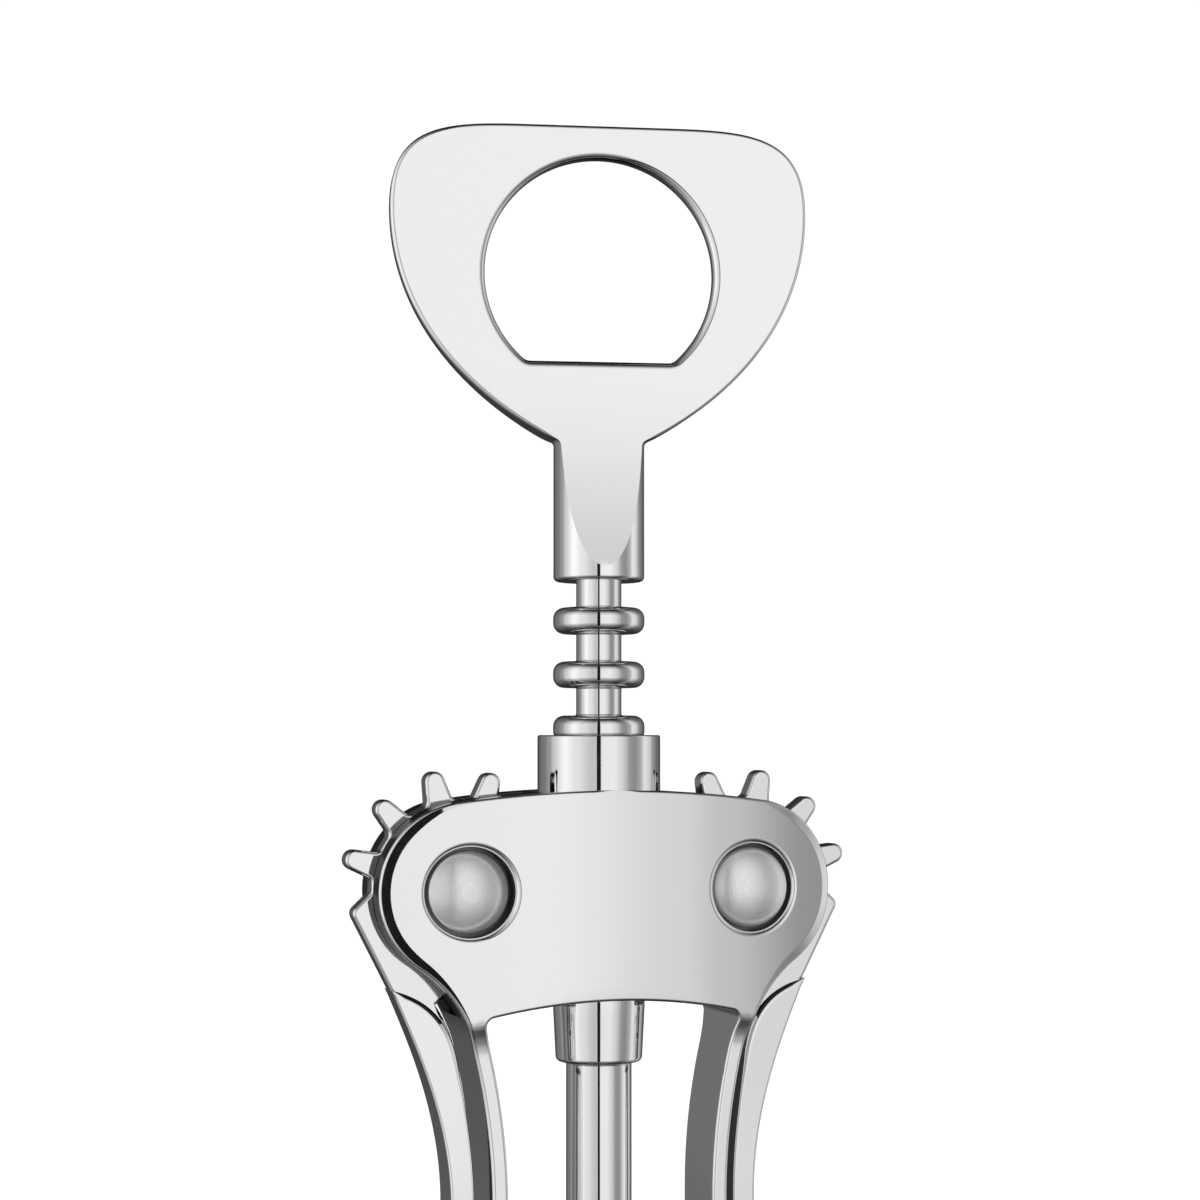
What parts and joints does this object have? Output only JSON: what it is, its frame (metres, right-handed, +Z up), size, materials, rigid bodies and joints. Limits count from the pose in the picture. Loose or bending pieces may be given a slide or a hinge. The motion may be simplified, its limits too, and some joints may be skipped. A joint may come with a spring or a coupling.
{
  "type": "wing corkscrew",
  "caption": "Chromed wing corkscrew: geared arms lift a ringed rack that carries a worm, with a crown-cap opener in the handle and a bell that fits a bottle's lip.",
  "frame": {"origin": "middle of the bell's rim, on the surface that the tool stands on", "axes": "+Z up along the worm, -Y towards the front face of the head, +X to the right seen from the front"},
  "size_m": [0.0738, 0.037, 0.195],
  "materials": {
    "chrome_casting": "polished chrome plate on a zinc casting, bright and lightly waved",
    "chrome_arm": "polished chrome plate on zinc castings",
    "chrome_handle": "polished chrome plate, broad flat faces",
    "chrome_turned": "bright chrome plate on turned steel",
    "satin_rivet": "satin domes with fine turning marks",
    "worm_steel": "bright drawn steel wire",
    "liner_plastic": "matt dark moulded plastic"
  },
  "bodies": {
    "frame": {"frame": "chrome_casting", "bell_liner": "liner_plastic", "left_rivet_front": "satin_rivet", "left_rivet_back": "satin_rivet", "right_rivet_front": "satin_rivet", "right_rivet_back": "satin_rivet"},
    "left_arm": {"left_arm": "chrome_arm"},
    "right_arm": {"right_arm": "chrome_arm"},
    "carriage": {"guide_bush": "chrome_turned"},
    "spindle": {"handle": "chrome_handle", "rack": "chrome_turned", "shaft": "chrome_turned", "worm_pin": "worm_steel", "worm": "worm_steel"}
  },
  "joints": [
    {"name": "left_arm_lift", "type": "hinge", "parent": "frame", "child": "left_arm", "pos_m": [-0.0205, 0, 0.0874], "axis": [0, 1, 0], "range_deg": [0, 120]},
    {"name": "right_arm_lift", "type": "hinge", "parent": "frame", "child": "right_arm", "pos_m": [0.0205, 0, 0.0874], "axis": [0, -1, 0], "range_deg": [0, 120]},
    {"name": "rack_slide", "type": "slide", "parent": "frame", "child": "carriage", "axis": [0, 0, -1], "range_m": [0, 0.03041]},
    {"name": "handle_turn", "type": "hinge", "parent": "carriage", "child": "spindle", "pos_m": [0, 0, 0.07], "axis": [0, 0, -1], "continuous": true}
  ],
  "couplings": [
    {"joint": "right_arm_lift", "follows": "left_arm_lift", "ratio": 1},
    {"joint": "rack_slide", "follows": "left_arm_lift", "m_per_rad": 0.014515}
  ]
}
